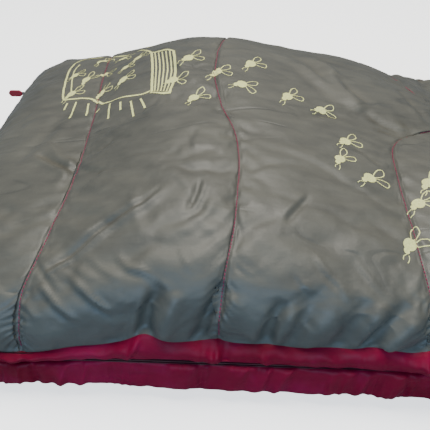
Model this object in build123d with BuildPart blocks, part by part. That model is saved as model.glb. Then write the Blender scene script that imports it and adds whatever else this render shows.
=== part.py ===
from build123d import *
import math
import os

os.makedirs("parts", exist_ok=True)

# A rectangular sleeping bag lying closed: a bottom quilt on the ground and an arched top quilt over it.
# +X runs from the foot to the head, -Y is the side with the zip, +Z is up, and the ground is at Z = 0.

# Driving dimensions, in millimetres
bag_length = 1680
bag_width = 660
corner_radius = 45
seam_count = 7
seam_pitch = bag_length / 7.5
skin = 1.2
clearance = 0.2
overrun = 2

# Heights of the bag's edge, from the ground up
ground_roll = 12
bottom_edge_top = 50
top_edge_base = 62
shoulder = 80

# The top quilt's arch: the rise of its crown above the shoulder, with a swell nearer the foot
settled_rise = 69
swell_rise = 46
swell_x = -2 * seam_pitch
swell_run = 150
foot_rise = 4
arch_power = 3.1
arch_steps = 16
side_wall = 45
arch_inset = 1

# Channels between the rows of stitching
channel_steps = (0, 0.08, 0.3, 0.5, 0.7, 0.92)
fullness_power = 0.6
crown_puff = 14
seam_thickness = 16
channel_thickness = 45
bottom_seam_top = 31
bottom_channel_top = 48
bottom_edge_power = 6
bottom_edge_flat = 12

# Stitching
thread_width = 1.4
thread_lift = 0.5
thread_height = 0.8

# The zip, which stands on edge in the gap between the two quilts, along the side and round the foot
zip_inset = 9
zip_z = (bottom_edge_top + top_edge_base) / 2
zip_end_inset = 40
tape_thickness = 0.8
coil_width = 3
coil_height = 1.8
coil_gap = 1.6
stop_length = 3
stop_wrap = 0.8

# The sliders and their pulls
slider_length = 12
slider_height = 10.6
plate_thickness = 1.4
plate_gap = 4.4
post_height = 1.0
post_length = 3
slider_park = 1
pin_radius = 0.8
pin_clearance = 0.08
pin_offset = 12
lug_length = 4
lug_thickness = 1.2
knuckle_height = 4.4
knuckle_radius = 1.9
pull_length = 16
pull_width = 6
pull_thickness = 1.3
tab_length = 26
tab_width = 13
tab_thickness = 4
tab_overlap = 7

half_length = bag_length / 2
half_width = bag_width / 2
head_start = half_length - corner_radius
seam_lines = [(i - (seam_count - 1) / 2) * seam_pitch for i in range(seam_count)]
pinch_lines = [-half_length, *seam_lines, half_length]
lining_layer = skin + clearance
height_limit = shoulder + foot_rise + settled_rise + swell_rise + crown_puff + skin
corner_aligned = (Align.MIN, Align.MIN, Align.MIN)

# Each zip end has a plane on the ground whose X runs along the zip towards that end
side_zip_end = Plane((half_length - zip_end_inset, zip_inset - half_width, 0))
foot_zip_end = Plane((zip_inset - half_length, half_width - zip_end_inset, 0), x_dir=(0, 1, 0))
pin_x = -slider_park - slider_length / 2


def finish(piece, name):
    """Label a finished piece and write it to its own STEP file."""
    piece.part.label = name
    export_step(piece.part, f"parts/{name}.step")


def stations():
    """Places along the bag with their fullness: 0 at a row of stitching, 1 in mid channel."""
    places = [(-half_length - overrun, 0)]
    for start, end in zip(pinch_lines, pinch_lines[1:]):
        for share in channel_steps:
            fullness = math.sin(math.pi * share) ** fullness_power
            places.append((start + share * (end - start), fullness))
    places.append((half_length + overrun, 0))
    return places


def crown_rise(x, fullness):
    """Rise of the top quilt's crown above its shoulder."""
    swell = swell_rise * math.exp(-(((x - swell_x) / swell_run) ** 2))
    towards_foot = min(max(swell_x - x, 0) / (swell_x + half_length), 1)
    foot_fall = math.sqrt(1 - towards_foot**2)
    return foot_rise + (settled_rise + swell) * foot_fall + crown_puff * fullness


def ceiling_rise(x, fullness):
    """Rise of the cavity's ceiling above the base of the top quilt's edge."""
    thickness = seam_thickness + (channel_thickness - seam_thickness) * fullness
    return max(shoulder + crown_rise(x, fullness) - thickness - top_edge_base, 1)


def arch(half_span, base, rise):
    """Points of a boxy arch across the bag, from the zip side to the joined side."""
    points = []
    for step in range(arch_steps + 1):
        turn = math.pi * (1 - step / arch_steps)
        across = math.copysign(abs(math.cos(turn)) ** (2 / arch_power), math.cos(turn))
        up = abs(math.sin(turn)) ** (2 / arch_power)
        points.append((half_span * across, base + rise * up))
    return points


def cavity_arch(x, fullness, layer):
    """The arch over the cavity, moved outwards by a layer."""
    return arch(
        half_width - side_wall + layer, top_edge_base + layer, ceiling_rise(x, fullness)
    )


def hollow(fullness, lift):
    """Points across the bottom quilt's upper side, which dips inside its firmer edge."""
    middle = bottom_seam_top + (bottom_channel_top - bottom_seam_top) * fullness
    edge_height = bottom_edge_top + lift
    dip_half_span = half_width - bottom_edge_flat
    points = [(-half_width - overrun, edge_height)]
    for step in range(arch_steps + 1):
        across = 2 * step / arch_steps - 1
        height = middle + (bottom_edge_top - middle) * abs(across) ** bottom_edge_power
        points.append((dip_half_span * across, height + lift))
    points.append((half_width + overrun, edge_height))
    return points


def band_section(x, upper, lower):
    """A closed strip at x between two curves that cross the bag."""
    with BuildSketch(Plane.YZ.offset(x)) as section:
        with BuildLine():
            top_edge = Spline(*upper)
            low_edge = Spline(*lower)
            Line(low_edge @ 0, top_edge @ 0)
            Line(low_edge @ 1, top_edge @ 1)
        make_face()
    return section.sketch


def walled_section(x, roof, ceiling, wall_base, wall_top):
    """A section at x with a curved roof and ceiling, and upright walls just past the bag's sides."""
    side_y = half_width + overrun
    with BuildSketch(Plane.YZ.offset(x)) as section:
        with BuildLine():
            upper = Spline(*roof)
            lower = Spline(*ceiling)
            for side, end in ((-1, 0), (1, 1)):
                corners = [(side * side_y, wall_base), (side * side_y, wall_top)]
                Polyline(lower @ end, *corners, upper @ end)
        make_face()
    return section.sketch


def box_section(x, roof, base):
    """A section at x with a curved roof, a flat base and sides just past the bag's own."""
    side_y = half_width + overrun
    with BuildSketch(Plane.YZ.offset(x)) as section:
        with BuildLine():
            upper = Spline(*roof)
            Polyline(upper @ 0, (-side_y, base), (side_y, base), upper @ 1)
        make_face()
    return section.sketch


def plan(inset):
    """The bag's outline seen from above, moved inwards."""
    with BuildSketch() as outline:
        RectangleRounded(bag_length - 2 * inset, bag_width - 2 * inset, corner_radius - inset)
    return outline.sketch


def plan_ring(outer_inset, inner_inset):
    """A strip that follows the bag's outline, seen from above."""
    with BuildSketch() as ring:
        add(plan(outer_inset))
        add(plan(inner_inset), mode=Mode.SUBTRACT)
    return ring.sketch


def rolled_block(inset, low, high, roll):
    """A block with the bag's outline and a rolled lower edge."""
    with BuildPart() as block:
        with BuildSketch(Plane.XY.offset(low)):
            add(plan(inset))
        extrude(amount=high - low)
        fillet(block.faces().sort_by(Axis.Z)[0].edges(), radius=roll)
    return block.part


def head_block(start):
    """Everything from a place along the bag to beyond its head."""
    with BuildPart() as block:
        with Locations((start, -bag_width, 0)):
            Box(bag_length, 2 * bag_width, height_limit, align=corner_aligned)
    return block.part


def zip_path(path_half_width):
    """A strip along the zip side and round the foot, centred on the zip, seen from above."""
    with BuildSketch() as path:
        add(plan_ring(zip_inset - path_half_width, zip_inset + path_half_width))
        with Locations((half_length - zip_end_inset, 0)):
            Rectangle(
                bag_length, 2 * bag_width, align=(Align.MIN, Align.CENTER), mode=Mode.SUBTRACT
            )
        with Locations((0, half_width - zip_end_inset)):
            Rectangle(
                2 * bag_length, bag_width, align=(Align.CENTER, Align.MIN), mode=Mode.SUBTRACT
            )
    return path.sketch


def zip_strip(path_half_width, low, high):
    """An upright strip along the whole zip between two heights."""
    with BuildPart() as strip:
        with BuildSketch(Plane.XY.offset(low)):
            add(zip_path(path_half_width))
        extrude(amount=high - low)
    return strip


def zip_stops(coil_low):
    """A clamp on each end of one coil."""
    with BuildPart() as stops:
        for end in (side_zip_end, foot_zip_end):
            with BuildSketch(end.offset(coil_low - stop_wrap / 2)):
                with Locations((0, 0)):
                    Rectangle(
                        stop_length, coil_width + stop_wrap, align=(Align.MIN, Align.CENTER)
                    )
            extrude(amount=coil_height + stop_wrap)
    return stops


def slider_body(end, outward):
    """Two plates joined by a post that runs between the coils, with lugs and a pin outside."""
    plate_middle = (plate_gap + plate_thickness) / 2
    lug_reach = pin_offset - plate_middle
    with BuildPart() as body:
        with BuildSketch(end.offset(zip_z - slider_height / 2)):
            for side in (-1, 1):
                with Locations((pin_x, side * plate_middle)):
                    Rectangle(slider_length, plate_thickness)
        extrude(amount=slider_height)
        fillet(body.edges().filter_by(Axis(end.origin, end.y_dir)), radius=slider_length / 4)
        with BuildSketch(end.offset(zip_z - post_height / 2)):
            with Locations((-slider_park - post_length / 2, 0)):
                Rectangle(post_length, 2 * plate_middle)
        extrude(amount=post_height)
        for side in (-1, 1):
            lug_middle = side * (knuckle_height / 2 + pin_clearance + lug_thickness / 2)
            with BuildSketch(end.offset(zip_z + lug_middle - lug_thickness / 2)):
                with Locations((pin_x, outward * (plate_middle + lug_reach / 2))):
                    Rectangle(lug_length, lug_reach)
                with Locations((pin_x, outward * pin_offset)):
                    Circle(lug_length / 2)
            extrude(amount=lug_thickness)
        with BuildSketch(end.offset(zip_z - knuckle_height / 2 - lug_thickness)):
            with Locations((pin_x, outward * pin_offset)):
                Circle(pin_radius)
        extrude(amount=knuckle_height + 2 * lug_thickness)
    return body


def pin_plane(end, outward):
    """The ground plane below a slider's pin. The pull lies along its -X at rest."""
    return Plane(end.from_local_coords((pin_x, outward * pin_offset, 0)))


def slider_pull(pin):
    """A flat pull that turns on the slider's pin."""
    with BuildPart() as pull:
        with BuildSketch(pin.offset(zip_z - knuckle_height / 2)):
            Circle(knuckle_radius)
            with Locations((-knuckle_radius, 0)):
                Rectangle(2 * knuckle_radius, pull_thickness)
        extrude(amount=knuckle_height)
        with BuildSketch(pin.offset(zip_z - pull_width / 2)):
            with Locations((-1.5 * knuckle_radius - pull_length / 2, 0)):
                Rectangle(pull_length, pull_thickness)
        extrude(amount=pull_width)
        with BuildSketch(pin.offset(zip_z - pull_width / 2)):
            Circle(pin_radius + pin_clearance)
        extrude(amount=pull_width, mode=Mode.SUBTRACT)
    return pull


def pull_tab(pin, pull):
    """A soft capsule-shaped grip that holds the end of the pull."""
    reach = 1.5 * knuckle_radius + pull_length - tab_overlap + tab_length / 2
    upright = Plane(pin.from_local_coords((-reach, 0, zip_z)), x_dir=pin.x_dir, z_dir=pin.y_dir)
    with BuildPart() as tab:
        with BuildSketch(upright.offset(-tab_thickness / 2)):
            SlotOverall(tab_length, tab_width)
        extrude(amount=tab_thickness)
        fillet(tab.faces().filter_by(Axis.Y).edges(), radius=tab_thickness / 3)
        add(pull.part, mode=Mode.SUBTRACT)
    return tab


# Top quilt: the core is cut into the filling, the edge facing and the head hem
with BuildPart() as top_core:
    loft(
        [
            walled_section(
                x,
                arch(
                    half_width - arch_inset - lining_layer,
                    shoulder - clearance,
                    crown_rise(x, fullness) - skin,
                ),
                cavity_arch(x, fullness, lining_layer),
                top_edge_base + lining_layer,
                shoulder - clearance,
            )
            for x, fullness in stations()
        ],
        ruled=True,
    )

with BuildPart() as top_edge:
    add(top_core.part)
    extrude(plan_ring(0, skin), amount=height_limit, mode=Mode.INTERSECT)

with BuildPart() as top_fill:
    add(top_core.part)
    extrude(plan(lining_layer), amount=height_limit, mode=Mode.INTERSECT)
finish(top_fill, "top_fill")

with BuildPart() as top_facing:
    add(top_edge.part)
    add(head_block(head_start), mode=Mode.SUBTRACT)
finish(top_facing, "top_facing")

with BuildPart() as top_head_hem:
    add(top_edge.part)
    add(head_block(head_start + clearance), mode=Mode.INTERSECT)
finish(top_head_hem, "top_head_hem")

with BuildPart() as top_shell:
    loft(
        [
            band_section(
                x,
                arch(half_width - arch_inset, shoulder, crown_rise(x, fullness)),
                arch(half_width - arch_inset - skin, shoulder, crown_rise(x, fullness) - skin),
            )
            for x, fullness in stations()
        ],
        ruled=True,
    )
    extrude(plan(0), amount=height_limit, mode=Mode.INTERSECT)
finish(top_shell, "top_shell")

with BuildPart() as top_lining:
    loft(
        [
            walled_section(
                x,
                cavity_arch(x, fullness, skin),
                cavity_arch(x, fullness, 0),
                top_edge_base,
                top_edge_base + skin,
            )
            for x, fullness in stations()
        ],
        ruled=True,
    )
    extrude(plan(0), amount=height_limit, mode=Mode.INTERSECT)
finish(top_lining, "top_lining")

with BuildPart() as top_quilting_thread:
    for x in seam_lines:
        rise = crown_rise(x, 0) + thread_lift
        row = band_section(
            x - thread_width / 2,
            arch(half_width + thread_height, shoulder, rise + thread_height),
            arch(half_width, shoulder, rise),
        )
        extrude(row, amount=thread_width)
finish(top_quilting_thread, "top_quilting_thread")

# Bottom quilt: flat underneath, with a rolled lower edge and a dipped, channelled upper side
with BuildPart() as bottom_core:
    loft(
        [box_section(x, hollow(fullness, -lining_layer), 0) for x, fullness in stations()],
        ruled=True,
    )

with BuildPart() as bottom_edge:
    add(bottom_core.part)
    with BuildSketch(Plane.XY.offset(ground_roll + clearance)):
        add(plan_ring(0, skin))
    extrude(amount=height_limit, mode=Mode.INTERSECT)

with BuildPart() as bottom_fill:
    add(bottom_core.part)
    add(
        rolled_block(lining_layer, lining_layer, height_limit, ground_roll - lining_layer),
        mode=Mode.INTERSECT,
    )
finish(bottom_fill, "bottom_fill")

with BuildPart() as bottom_facing:
    add(bottom_edge.part)
    add(head_block(head_start), mode=Mode.SUBTRACT)
finish(bottom_facing, "bottom_facing")

with BuildPart() as bottom_head_hem:
    add(bottom_edge.part)
    add(head_block(head_start + clearance), mode=Mode.INTERSECT)
finish(bottom_head_hem, "bottom_head_hem")

with BuildPart() as bottom_shell:
    add(rolled_block(0, 0, ground_roll, ground_roll - clearance))
    add(
        rolled_block(skin, skin, height_limit, ground_roll - skin - clearance),
        mode=Mode.SUBTRACT,
    )
finish(bottom_shell, "bottom_shell")

with BuildPart() as bottom_lining:
    loft(
        [
            band_section(x, hollow(fullness, 0), hollow(fullness, -skin))
            for x, fullness in stations()
        ],
        ruled=True,
    )
    extrude(plan(0), amount=height_limit, mode=Mode.INTERSECT)
finish(bottom_lining, "bottom_lining")

with BuildPart() as bottom_quilting_thread:
    for x in seam_lines:
        row = band_section(
            x - thread_width / 2,
            hollow(0, thread_lift + thread_height),
            hollow(0, thread_lift),
        )
        extrude(row, amount=thread_width)
    extrude(plan(zip_inset + coil_width), amount=height_limit, mode=Mode.INTERSECT)
finish(bottom_quilting_thread, "bottom_quilting_thread")

# The joined side: a strip of shell cloth that closes the gap opposite the zip
with BuildPart() as side_joining_strip:
    with BuildSketch(Plane.XY.offset(bottom_edge_top + clearance)):
        add(plan_ring(0, skin))
        with Locations((0, -corner_radius)):
            Rectangle(2 * bag_length, bag_width, mode=Mode.SUBTRACT)
    extrude(amount=top_edge_base - bottom_edge_top - 2 * clearance)
finish(side_joining_strip, "side_joining_strip")

# The zip: each quilt carries a tape with a coil on its free edge, and a clamp on each coil end
upper_coil_low = zip_z + coil_gap / 2
lower_coil_low = zip_z - coil_gap / 2 - coil_height

lower_zip_tape = zip_strip(tape_thickness / 2, bottom_edge_top + clearance, lower_coil_low)
finish(lower_zip_tape, "lower_zip_tape")

upper_zip_tape = zip_strip(tape_thickness / 2, upper_coil_low + coil_height, top_edge_base)
finish(upper_zip_tape, "upper_zip_tape")

lower_zip_coil = zip_strip(coil_width / 2, lower_coil_low, lower_coil_low + coil_height)
finish(lower_zip_coil, "lower_zip_coil")

upper_zip_coil = zip_strip(coil_width / 2, upper_coil_low, upper_coil_low + coil_height)
finish(upper_zip_coil, "upper_zip_coil")

lower_zip_stops = zip_stops(lower_coil_low)
finish(lower_zip_stops, "lower_zip_stops")

upper_zip_stops = zip_stops(upper_coil_low)
finish(upper_zip_stops, "upper_zip_stops")

# Two sliders, each with a pull and a soft grip: one at the head end, one at the foot end
for zip_name, end, outward in (("side", side_zip_end, -1), ("foot", foot_zip_end, 1)):
    body = slider_body(end, outward)
    finish(body, f"{zip_name}_slider")
    pin = pin_plane(end, outward)
    pull = slider_pull(pin)
    finish(pull, f"{zip_name}_pull")
    tab = pull_tab(pin, pull)
    finish(tab, f"{zip_name}_pull_tab")
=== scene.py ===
import bpy
from math import cos, dist, pi, radians, sin
import numpy as np
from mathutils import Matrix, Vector
from mathutils.bvhtree import BVHTree


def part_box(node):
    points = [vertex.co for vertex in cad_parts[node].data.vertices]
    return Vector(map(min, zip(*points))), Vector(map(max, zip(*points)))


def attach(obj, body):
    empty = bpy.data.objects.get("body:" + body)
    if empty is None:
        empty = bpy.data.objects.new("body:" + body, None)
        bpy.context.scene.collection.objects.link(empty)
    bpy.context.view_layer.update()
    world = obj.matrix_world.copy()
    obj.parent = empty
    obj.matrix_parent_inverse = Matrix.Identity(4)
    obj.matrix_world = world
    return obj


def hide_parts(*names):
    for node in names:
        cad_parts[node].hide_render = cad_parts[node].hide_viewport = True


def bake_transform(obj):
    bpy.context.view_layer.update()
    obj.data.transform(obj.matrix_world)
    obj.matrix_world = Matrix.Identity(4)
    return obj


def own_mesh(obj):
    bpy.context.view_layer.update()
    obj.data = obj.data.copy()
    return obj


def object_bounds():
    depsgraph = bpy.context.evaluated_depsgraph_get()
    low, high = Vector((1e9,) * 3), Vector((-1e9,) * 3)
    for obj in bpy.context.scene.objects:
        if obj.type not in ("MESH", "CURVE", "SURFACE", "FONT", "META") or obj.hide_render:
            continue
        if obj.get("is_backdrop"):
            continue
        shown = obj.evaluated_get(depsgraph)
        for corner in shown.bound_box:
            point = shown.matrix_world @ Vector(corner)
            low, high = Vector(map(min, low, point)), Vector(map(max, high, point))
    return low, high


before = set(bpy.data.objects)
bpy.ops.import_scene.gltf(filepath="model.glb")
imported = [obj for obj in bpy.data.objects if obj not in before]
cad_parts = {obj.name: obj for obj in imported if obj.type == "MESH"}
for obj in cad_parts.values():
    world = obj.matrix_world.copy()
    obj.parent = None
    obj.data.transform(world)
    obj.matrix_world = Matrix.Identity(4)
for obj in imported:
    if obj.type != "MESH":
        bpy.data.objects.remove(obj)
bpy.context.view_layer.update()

# -------------------- sizes, in metres; the length is the frame's
half_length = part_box("top_shell")[1].x
half_width = 0.330
gap_low = 0.0522
gap_high = 0.0602
seam_count = 7
seam_pitch = 2 * half_length / 7.5
seams = [(i - (seam_count - 1) / 2) * seam_pitch for i in range(seam_count)]
pinch_lines = [-half_length] + seams + [half_length]
corner = 0.045
zip_side_y = -0.25  # less than this on the zip side
foot_pucker_x = -0.654  # where the sewn puckers of the band and the facing stand off their rows of stitching
second_pucker_x = -0.452

# the top quilt's outer surface
hem_z = 0.0805
hem_inset = 0.015
arch_power = 3.1
settled_rise = 0.0715
swell_rise = 0.046
swell_x = -0.466
swell_run = 0.150
foot_rise = 0.004
puff = 0.0055


# -------------------- small helpers
def smooth(a):
    a = np.clip(a, 0, 1)
    return a * a * (3 - 2 * a)


def bump(a, middle, width):
    return np.exp(-(((a - middle) / width) ** 2))


def metres(*millimetres):
    """Millimetres, kept to a thousandth, as metres."""
    return [round(v * 1000) / 1e6 for v in millimetres]


def pairs(flat):
    """A flat list of numbers as a list of points."""
    return list(zip(flat[::2], flat[1::2]))


def fullness(x):
    """0 on a row of stitching, 1 in mid channel."""
    x = np.clip(x, -half_length, half_length)
    out = np.zeros_like(x)
    for a, b in zip(pinch_lines, pinch_lines[1:]):
        share = (x - a) / (b - a)
        inside = (share >= 0) & (share <= 1)
        out = np.where(inside, np.abs(np.sin(pi * np.clip(share, 0, 1))) ** 0.6, out)
    return out


def seam_gap(x):
    """Distance along the bag to the nearest row of stitching."""
    return np.min([np.abs(x - s) for s in seams], axis=0)


def value_noise(u, v, scale, seed):
    """Smooth repeatable noise from -1 to 1 at each 2-D point."""
    table = np.random.default_rng(seed).uniform(-1, 1, (64, 64))
    p = np.stack(np.broadcast_arrays(u, v), -1) / scale
    i = np.floor(p).astype(int)
    f = p - i
    f = f * f * (3 - 2 * f)
    a, b, c, d = (table[(i[..., 0] + j) % 64, (i[..., 1] + k) % 64] for k in (0, 1) for j in (0, 1))
    fu, fv = f[..., 0], f[..., 1]
    return (a * (1 - fu) + b * fu) * (1 - fv) + (c * (1 - fu) + d * fu) * fv


def graded(start, end, count, density):
    """count places from start to end, closer together where density is high."""
    fine = np.linspace(start, end, 4000)
    weight = density(fine)
    total = np.concatenate([[0], np.cumsum((weight[1:] + weight[:-1]) / 2)])
    return np.interp(np.linspace(0, total[-1], count), total, fine)


def resample(grid, count, axis):
    """The grid with count places along one axis, on smooth curves through the old ones."""
    p = np.moveaxis(grid, axis, 0)
    t = np.linspace(0, len(p) - 1, count)
    i = np.clip(t.astype(int), 0, len(p) - 2)
    f = (t - i).reshape(-1, *[1] * (p.ndim - 1))
    a, b, c, d = p[np.maximum(i - 1, 0)], p[i], p[i + 1], p[np.minimum(i + 2, len(p) - 1)]
    out = b + 0.5 * f * (c - a + f * (2 * a - 5 * b + 4 * c - d + f * (3 * (b - c) + d - a)))
    return np.moveaxis(out, 0, axis)


def doubled(grid):
    """The grid with a new row and column half-way between the old ones."""
    return resample(resample(grid, 2 * grid.shape[0] - 1, 0), 2 * grid.shape[1] - 1, 1)


def run_along(points, axis):
    """Distance walked along one axis of a grid of points."""
    step = np.linalg.norm(np.diff(points, axis=axis), axis=-1)
    start = np.zeros_like(np.take(step, [0], axis=axis))
    return np.concatenate([start, np.cumsum(step, axis=axis)], axis=axis)


def unit(v, tiny=0.0):
    """Vectors along the last axis, made one long."""
    return v / (np.linalg.norm(v, axis=-1, keepdims=True) + tiny)


def grid_normals(points):
    return unit(np.cross(np.gradient(points, axis=0), np.gradient(points, axis=1)), 1e-12)


def placed(at, walked, points):
    """Points at distances walked along a path."""
    return np.stack([np.interp(at, walked, column) for column in points.T], -1)


def nearest_rows(column):
    """The index of the place nearest to each row of stitching."""
    return [int(np.argmin(np.abs(column - s))) for s in seams]


def places_with_seams(count, density):
    """Graded places from the foot to the head end, with one moved on to each row of stitching."""
    xs = graded(-half_length, half_length, count, density)
    for i, s in zip(nearest_rows(xs), seams):
        xs[i] = s
    return xs


def edge_distance(grid):
    """Distance across the cloth to the nearer of its two long edges."""
    return np.minimum(run_along(grid, 1), run_along(grid[:, ::-1], 1)[:, ::-1])


# -------------------- the top quilt's shape
def crown_rise(x):
    """How far the middle of the top stands above its hem: settled cloth with a swell near the foot."""
    swell = swell_rise * np.exp(-(((x - swell_x) / swell_run) ** 2))
    towards_foot = np.clip((swell_x - x) / (swell_x + half_length), 0, 1)
    return foot_rise + (settled_rise + swell) * np.sqrt(1 - towards_foot**2)


def settle(x, y):
    """How far the half away from the zip sinks past the swell. Before it, that half stands a bit prouder."""
    down = 0.073 * smooth((x + 0.315) / 0.21) * smooth((y + 0.12) / 0.32)
    up = 0.008 * smooth((-0.38 - x) / 0.08) * smooth((x + 0.81) / 0.06) * smooth((y + 0.05) / 0.2)
    return down * (1 - 0.55 * smooth((x - 0.20) / 0.45)) - up


# how far each row of stitching wanders along the bag, in millimetres: place across and shift, zip side first
seam_wander = {
    0: (-330, 6, -250, 26, -150, 37, -50, 34, 50, 28, 330, 0),
    1: (-330, -3, -240, 14, -140, 18, -80, 12, -20, -8, 60, -22, 160, -20, 330, 0),
    2: (-330, -2, -250, -11, -150, -13, -90, -10, -50, -6, -20, 6, 0, 24, 20, 68, 40, 98, 120, 100, 220,
        70, 330, 35),
    3: (-330, 0, -100, 10, 50, 36, 160, 40, 330, 12),
    4: (-330, 4, -100, -4, 100, 12, 330, 0),
    5: (-330, -3, -100, 5, 120, -6, 330, 0),
}


def wander(x, y):
    """Shift along the bag at each point, from the rows of stitching on each side of it."""
    knots = [np.zeros_like(y) for _ in pinch_lines]
    fine = np.linspace(-0.35, 0.35, 141)
    for i, row in seam_wander.items():
        line = np.interp(fine, *zip(*pairs(metres(*row))))
        line = np.convolve(np.pad(line, 6, mode="edge"), np.hanning(15)[1:-1] / 7.0, "valid")
        knots[i + 1] = np.interp(y, fine, line)
    out = np.zeros_like(y)
    for k, (a, b) in enumerate(zip(pinch_lines, pinch_lines[1:])):
        share = (x - a) / (b - a)
        inside = (share >= 0) & (share <= 1)
        out = np.where(inside, knots[k] * (1 - share) + knots[k + 1] * share, out)
    return out


def half_span(x, inset):
    """Half the bag's width at x, less an inset and the rounded corners at the foot."""
    into = np.clip(-half_length + corner - x, 0, corner)
    return half_width - inset - corner + np.sqrt(np.maximum(corner**2 - into**2, 0))


def foot_sag(x):
    """0 along most of the zip side, 1 where its edge sags and spreads just before the foot corner."""
    return smooth((-0.56 - x) / 0.12) * smooth((x + 0.742) / 0.06)


def spread(x, y):
    """How far the zip side's edge bows out past its straight line, in the middle of the bag."""
    return 0.0125 * smooth((x + 0.34) / 0.24) * (1 - smooth(x / 0.28)) * (np.asarray(y) < 0)


def hem_rise(x):
    """How far the zip side's hem rides above its usual height."""
    rise = 0.013 * bump(x, -0.530, 0.018) + 0.005 * bump(x, -0.452, 0.012) + 0.003 * bump(x, -0.388, 0.015)
    rise += 0.004 * bump(x, -0.282, 0.016) - 0.004 * smooth((-0.535 - x) / 0.06)
    rise += -0.016 * foot_sag(x) - 0.001 * bump(x, -0.49, 0.02)
    for s in seams[2:]:
        rise += 0.004 * bump(x, s, 0.012)
    return rise + 0.0012 * np.sin(x * 37) + 0.0008 * np.sin(x * 91 + 1)


def arch(xs, turns):
    """Grids for rows xs along the bag and turns (0 to pi) over it: place, turn, share across and share up."""
    x, turn = np.meshgrid(xs, turns, indexing="ij")
    across = np.sign(-np.cos(turn)) * np.abs(np.cos(turn)) ** (2 / arch_power)
    return x, turn, across, np.abs(np.sin(turn)) ** (2 / arch_power)


def top_surface(xs, turns):
    """The top quilt's outer cloth, before its creases."""
    x, turn, across, up = arch(xs, turns)
    y = half_span(x, hem_inset - 0.008 * foot_sag(x)) * across
    world_x = x + wander(x, y) + hem_inset * (1 - smooth((x + half_length) / 0.06))
    steep = smooth((np.abs(across) - 0.80) / 0.2)
    f = fullness(x)
    rise = crown_rise(x + wander(x, y)) + puff * f - settle(x, y)
    side_puff = 0.010 * f * steep * np.abs(np.sin(turn)) ** 0.5
    y = y + np.sign(across) * side_puff - np.sign(across) * 0.004 * (1 - f) * steep
    y = y - spread(x, y) * smooth((-across - 0.72) / 0.26)
    near = smooth((-across - 0.9) / 0.1)
    z = hem_z + hem_rise(x) * near + (rise - hem_rise(x) * near) * up
    return np.stack([world_x, y, z], -1), x, across


def shell_rows():
    """Places along the bag, closer at the rows of stitching, at the foot and on the foot half."""
    def density(x):
        d = 1 + 1.2 * bump(seam_gap(x), 0, 0.014) + 4 * bump(x, -half_length, 0.012)
        return d * np.where(x < -0.12, 1.8, 1.0)

    return places_with_seams(236, density)


def shell_turns(count):
    """Turns over the arch, closer together near the hems."""
    fine = np.linspace(0, pi, 4000)
    y = -0.32 * np.sign(np.cos(fine)) * np.abs(np.cos(fine)) ** (2 / arch_power)
    z = 0.10 * np.abs(np.sin(fine)) ** (2 / arch_power)
    arc = np.concatenate([[0], np.cumsum(np.hypot(np.diff(y), np.diff(z)))])
    arc /= arc[-1]
    share = graded(0, 1, count, lambda t: 1 + 1.0 * bump(t, 0, 0.14) + 0.3 * bump(t, 1, 0.1))
    return np.interp(share, arc, fine)


rows = shell_rows()
turns = shell_turns(104)
base, row_x, row_across = top_surface(rows, turns)


# -------------------- making pieces
def grid_object(name, points, flip=False, finish=None):
    """A mesh from a grid of points, with a UV map in metres."""
    count = points.shape[0] * points.shape[1]
    index = np.arange(count).reshape(points.shape[:2])
    quads = np.stack([index[:-1, :-1], index[1:, :-1], index[1:, 1:], index[:-1, 1:]], -1).reshape(-1, 4)
    if flip:
        quads = quads[:, ::-1]
    uv = np.stack([run_along(points, 0), run_along(points, 1)], -1)
    return mesh_object(name, points.reshape(-1, 3), quads, finish, uv.reshape(-1, 2))


def add_object(name, data):
    obj = bpy.data.objects.new(name, data)
    bpy.context.scene.collection.objects.link(obj)
    return obj


def mesh_object(name, points, faces, finish=None, uv=None):
    """A smooth mesh, with the UV place of each vertex if uv is given."""
    mesh = bpy.data.meshes.new(name)
    mesh.from_pydata(np.asarray(points).tolist(), [], [tuple(int(i) for i in f) for f in faces])
    mesh.polygons.foreach_set("use_smooth", [True] * len(mesh.polygons))
    if uv is not None:
        layer = mesh.uv_layers.new(name="cloth")
        loops = np.zeros(len(mesh.loops), int)
        mesh.loops.foreach_get("vertex_index", loops)
        layer.data.foreach_set("uv", np.asarray(uv)[loops].ravel())
    mesh.update()
    if finish is not None:
        mesh.materials.append(finish)
    return add_object(name, mesh)


def relax_cloth(points, held, pressure, growth, cap, frames):
    """Let a grid of cloth swell and buckle between its held points. Returns where it comes to rest."""
    obj = grid_object("loose", points)
    group = obj.vertex_groups.new(name="held")
    group.add(np.nonzero(held.ravel())[0].tolist(), 1.0, "REPLACE")
    cloth = obj.modifiers.new("cloth", "CLOTH")
    settings = dict(
        quality=4, mass=0.25, tension_stiffness=25, compression_stiffness=25, shear_stiffness=6,
        bending_stiffness=0.05, tension_damping=12, compression_damping=12, shear_damping=8, air_damping=3,
        shrink_min=-growth, shrink_max=-growth, vertex_group_mass="held", pin_stiffness=1,
        use_pressure=True, uniform_pressure_force=pressure)
    for key, value in settings.items():
        setattr(cloth.settings, key, value)
    cloth.settings.effector_weights.gravity = 0
    scene = bpy.context.scene
    scene.frame_start = 1
    cloth.point_cache.frame_start = 1
    cloth.point_cache.frame_end = frames
    for f in range(1, frames + 1):
        scene.frame_set(f)
    evaluated = obj.evaluated_get(bpy.context.evaluated_depsgraph_get())
    end = np.zeros(points.size)
    evaluated.data.vertices.foreach_get("co", end)
    scene.frame_set(1)
    bpy.data.objects.remove(obj)
    moved = end.reshape(points.shape) - points
    length = np.linalg.norm(moved, axis=-1, keepdims=True)
    return points + moved * cap * np.tanh(length / cap) / np.maximum(length, 1e-9)


def held_points(points_x):
    """1 at the rows of stitching and round the edge, 0 elsewhere."""
    held = np.zeros(points_x.shape)
    for s in seams:
        held[np.abs(points_x - s) < 1e-6] = 1
    held[0] = held[-1] = 1
    held[:, 0] = held[:, -1] = 1
    return held


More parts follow.
